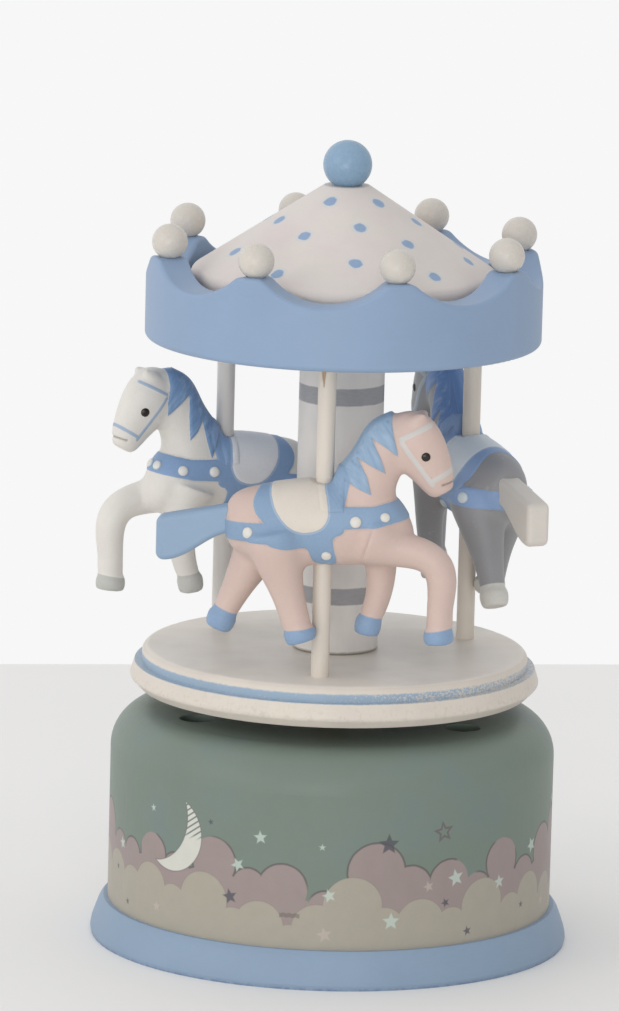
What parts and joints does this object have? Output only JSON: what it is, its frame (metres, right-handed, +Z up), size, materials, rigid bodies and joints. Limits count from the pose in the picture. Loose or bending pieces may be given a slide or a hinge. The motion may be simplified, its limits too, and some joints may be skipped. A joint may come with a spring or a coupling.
{
  "type": "carousel music box",
  "caption": "Round wooden music box whose spring-driven carousel of horses on poles turns beneath a crown-edged canopy as a pinned cylinder plucks a comb.",
  "frame": {"origin": "centre of the base's underside, on the carousel's axis", "axes": "+Z up along the carousel's axis, -Y towards the front, +X to the right seen from the front"},
  "size_m": [0.0807, 0.08, 0.135],
  "materials": {
    "base_blue": "painted wood, satin",
    "drum_green": "painted wood with a printed band, satin",
    "screw_steel": "bright zinc plated steel",
    "movement_zinc": "cast and pressed metal",
    "shaft_steel": "turned steel",
    "spring_steel": "blued spring steel",
    "gear_brass": "cut brass",
    "fly_brass": "brass",
    "turntable_cream": "painted wood, satin",
    "column_white": "painted wood with two grey bands, satin",
    "pole_cream": "painted wooden dowel",
    "horse_pink_paint": "painted, satin",
    "horse_grey_paint": "painted, satin",
    "horse_white_paint": "painted, satin",
    "tail_blue": "painted, satin",
    "tail_pale": "painted, satin",
    "crown_blue": "painted wood, satin",
    "roof_white": "painted wood with blue dots, satin",
    "finial_blue": "painted wood, satin",
    "bead_white": "painted wood, satin"
  },
  "bodies": {
    "base": {"base_flange": "base_blue", "case_screws": "screw_steel", "drum_shell": "drum_green", "movement_screws": "screw_steel", "bedplate": "movement_zinc", "spring_barrel": "movement_zinc", "barrel_cover": "movement_zinc", "barrel_pillars": "shaft_steel", "mainspring": "spring_steel", "note_comb": "spring_steel", "comb_heel": "movement_zinc", "comb_screws": "screw_steel", "inner_bracket": "movement_zinc", "outer_bracket": "movement_zinc", "governor_bracket": "movement_zinc", "fly_bracket": "movement_zinc"},
    "carousel": {"winding_arbor": "shaft_steel", "great_wheel": "gear_brass", "clutch_spring": "spring_steel", "turntable_insert": "gear_brass", "turntable": "turntable_cream", "center_column": "column_white", "pole_pink": "pole_cream", "pole_grey": "pole_cream", "pole_white": "pole_cream", "horse_pink": "horse_pink_paint", "horse_grey": "horse_grey_paint", "horse_white": "horse_white_paint", "tail_pink": "tail_blue", "tail_grey": "tail_pale", "tail_white": "tail_blue", "canopy_crown": "crown_blue", "canopy_roof": "roof_white", "roof_finial": "finial_blue", "crown_bead_1": "bead_white", "crown_bead_2": "bead_white", "crown_bead_3": "bead_white", "crown_bead_4": "bead_white", "crown_bead_5": "bead_white", "crown_bead_6": "bead_white", "crown_bead_7": "bead_white", "crown_bead_8": "bead_white"},
    "cylinder": {"cylinder_shell": "gear_brass", "cylinder_shaft": "shaft_steel", "drive_pinion": "gear_brass", "cylinder_gear": "gear_brass"},
    "governor": {"governor_pinion": "gear_brass", "governor_shaft": "shaft_steel", "worm_wheel": "gear_brass"},
    "fly": {"fly_worm": "fly_brass", "fly_vane": "fly_brass"}
  },
  "joints": [
    {"name": "carousel_spin", "type": "hinge", "parent": "base", "child": "carousel", "pos_m": [0, 0, 0.0426], "axis": [0, 0, 1], "continuous": true},
    {"name": "cylinder_spin", "type": "hinge", "parent": "base", "child": "cylinder", "pos_m": [0.0128, 0, 0.0225], "axis": [1, 0, 0], "continuous": true},
    {"name": "governor_spin", "type": "hinge", "parent": "base", "child": "governor", "pos_m": [0.02, 0.0102, 0.0225], "axis": [1, 0, 0], "continuous": true},
    {"name": "fly_spin", "type": "hinge", "parent": "base", "child": "fly", "pos_m": [0.02, 0.01482, 0.02], "axis": [0, 0, 1], "continuous": true}
  ],
  "couplings": [
    {"joint": "cylinder_spin", "follows": "carousel_spin", "ratio": -2.5},
    {"joint": "governor_spin", "follows": "carousel_spin", "ratio": 6},
    {"joint": "fly_spin", "follows": "carousel_spin", "ratio": -42}
  ]
}
